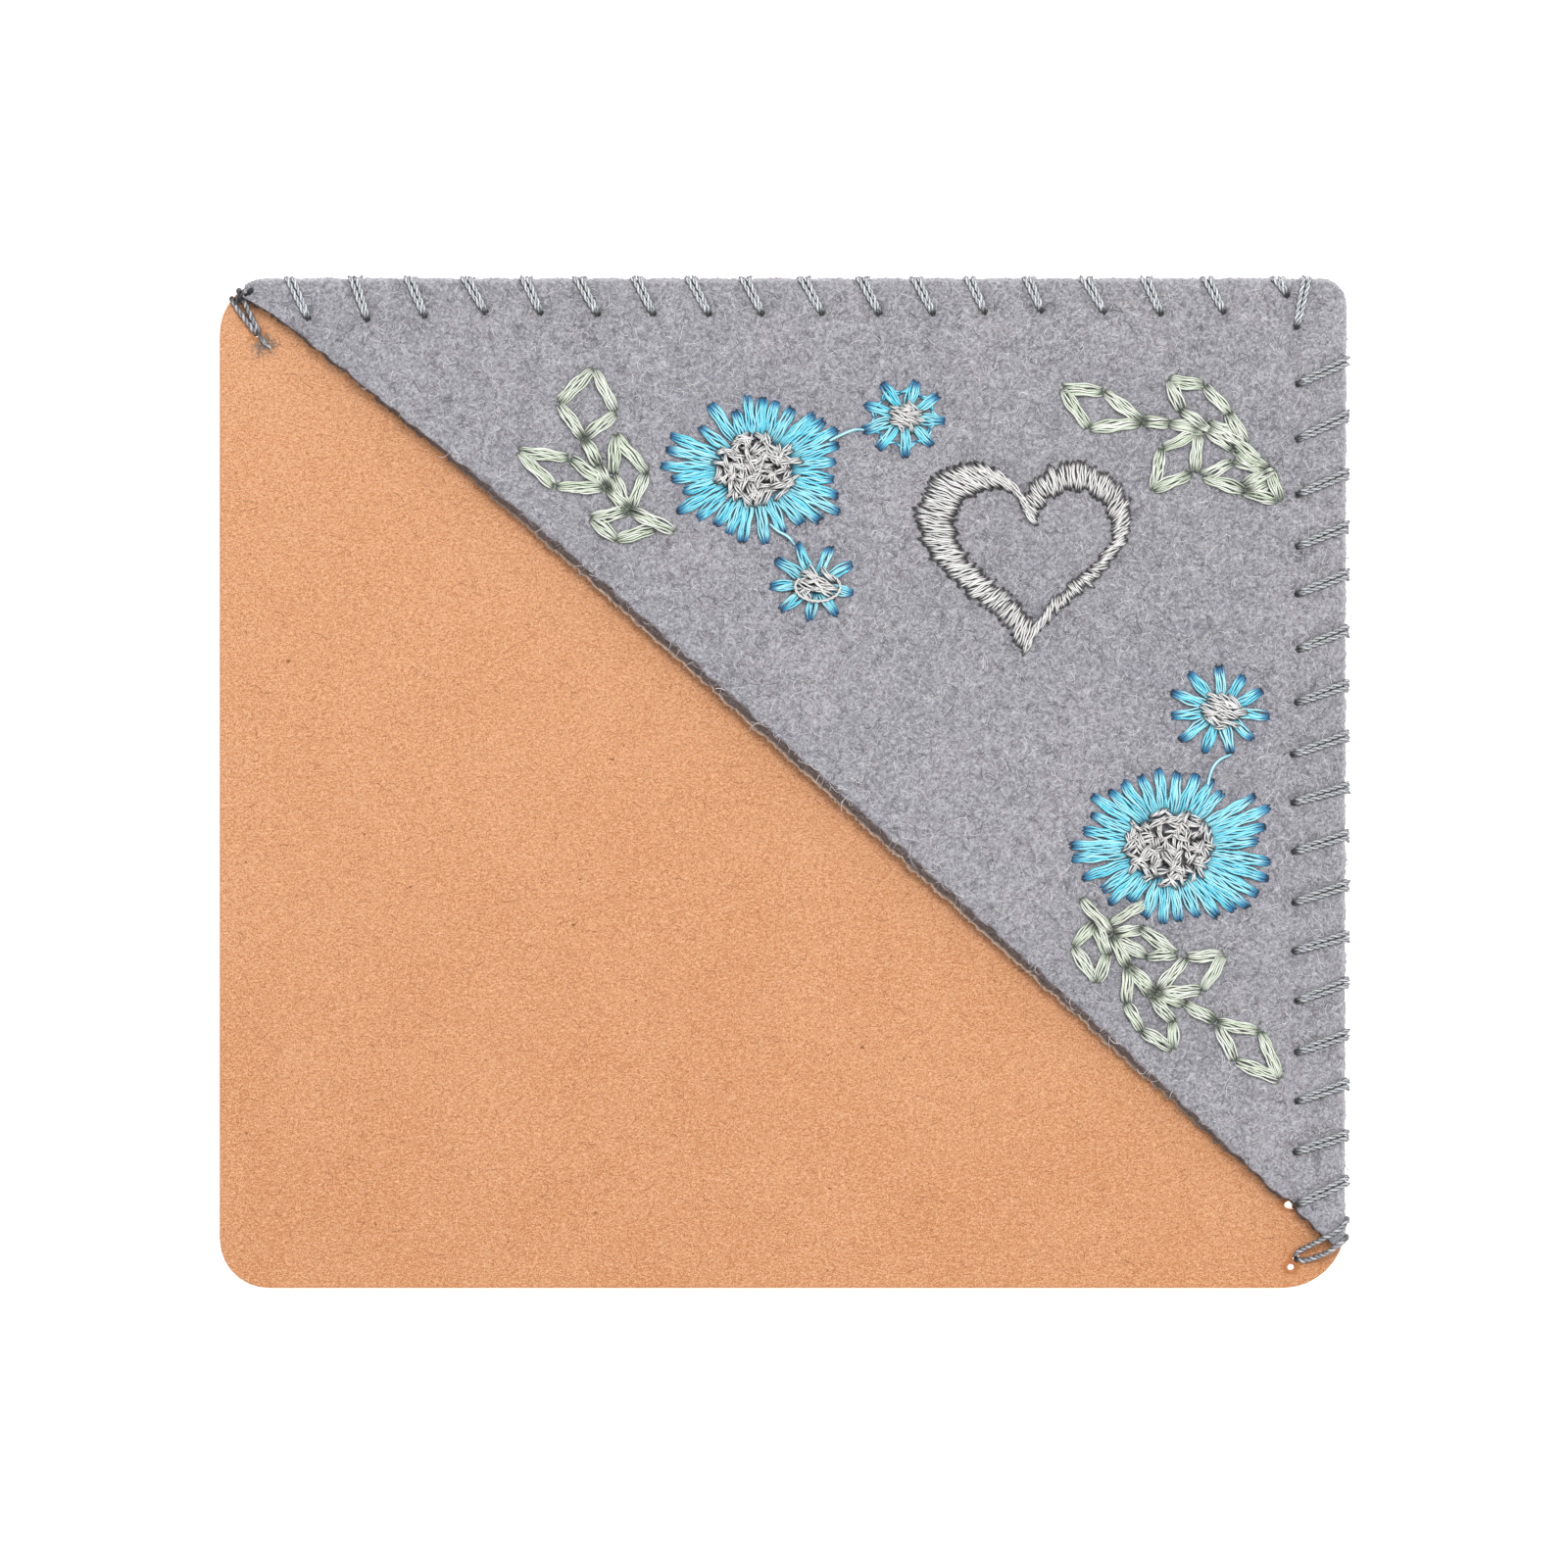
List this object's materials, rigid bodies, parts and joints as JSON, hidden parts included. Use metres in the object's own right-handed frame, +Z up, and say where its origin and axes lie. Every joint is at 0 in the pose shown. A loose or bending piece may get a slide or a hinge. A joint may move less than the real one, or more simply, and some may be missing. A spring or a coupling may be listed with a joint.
{
  "type": "felt corner pocket on a card",
  "caption": "Flat kraft card with a grey felt triangle whip-stitched to two edges as a corner pocket, embroidered with blue flowers, leaf sprigs and a heart.",
  "frame": {"origin": "middle of the bounding box at its lowest point, under the card", "axes": "+Z up out of the felt face, +X along the long edge towards the sewn right edge, +Y towards the sewn top edge"},
  "size_m": [0.0804, 0.0722, 0.0044],
  "materials": {
    "kraft_paper": "uncoated kraft paper with fine fibres",
    "grey_felt": "pressed felt with loose pale fibres",
    "seam_thread": "two-ply twisted sewing thread",
    "blue_thread": "glossy embroidery thread",
    "green_thread": "glossy embroidery thread",
    "silver_thread": "glossy embroidery thread",
    "bobbin_thread": "matt fine thread"
  },
  "bodies": {
    "root": {"bobbin_corner_sprig": "bobbin_thread", "bobbin_heart": "bobbin_thread", "bobbin_left_sprig": "bobbin_thread", "bobbin_lower_sprig": "bobbin_thread", "bobbin_middle_blossom": "bobbin_thread", "bobbin_right_flower": "bobbin_thread", "bobbin_side_blossom": "bobbin_thread", "bobbin_top_blossom": "bobbin_thread", "bobbin_upper_flower": "bobbin_thread", "corner_sprig": "green_thread", "end_knot": "seam_thread", "end_tie_strand_1": "seam_thread", "end_tie_strand_2": "seam_thread", "felt_pocket": "grey_felt", "heart_motif": "silver_thread", "jump_thread_1": "blue_thread", "jump_thread_2": "blue_thread", "jump_thread_3": "blue_thread", "kraft_card": "kraft_paper", "left_sprig": "green_thread", "loose_silver_loop": "silver_thread", "lower_sprig": "green_thread", "middle_blossom_centre": "silver_thread", "middle_blossom_petals": "blue_thread", "right_flower_centre": "silver_thread", "right_flower_petals": "blue_thread", "right_whip_strand_1": "seam_thread", "right_whip_strand_2": "seam_thread", "side_blossom_centre": "silver_thread", "side_blossom_petals": "blue_thread", "start_tie_strand_1": "seam_thread", "start_tie_strand_2": "seam_thread", "thread_tail": "seam_thread", "top_blossom_centre": "silver_thread", "top_blossom_petals": "blue_thread", "top_whip_strand_1": "seam_thread", "top_whip_strand_2": "seam_thread", "upper_flower_centre": "silver_thread", "upper_flower_petals": "blue_thread"}
  },
  "joints": []
}
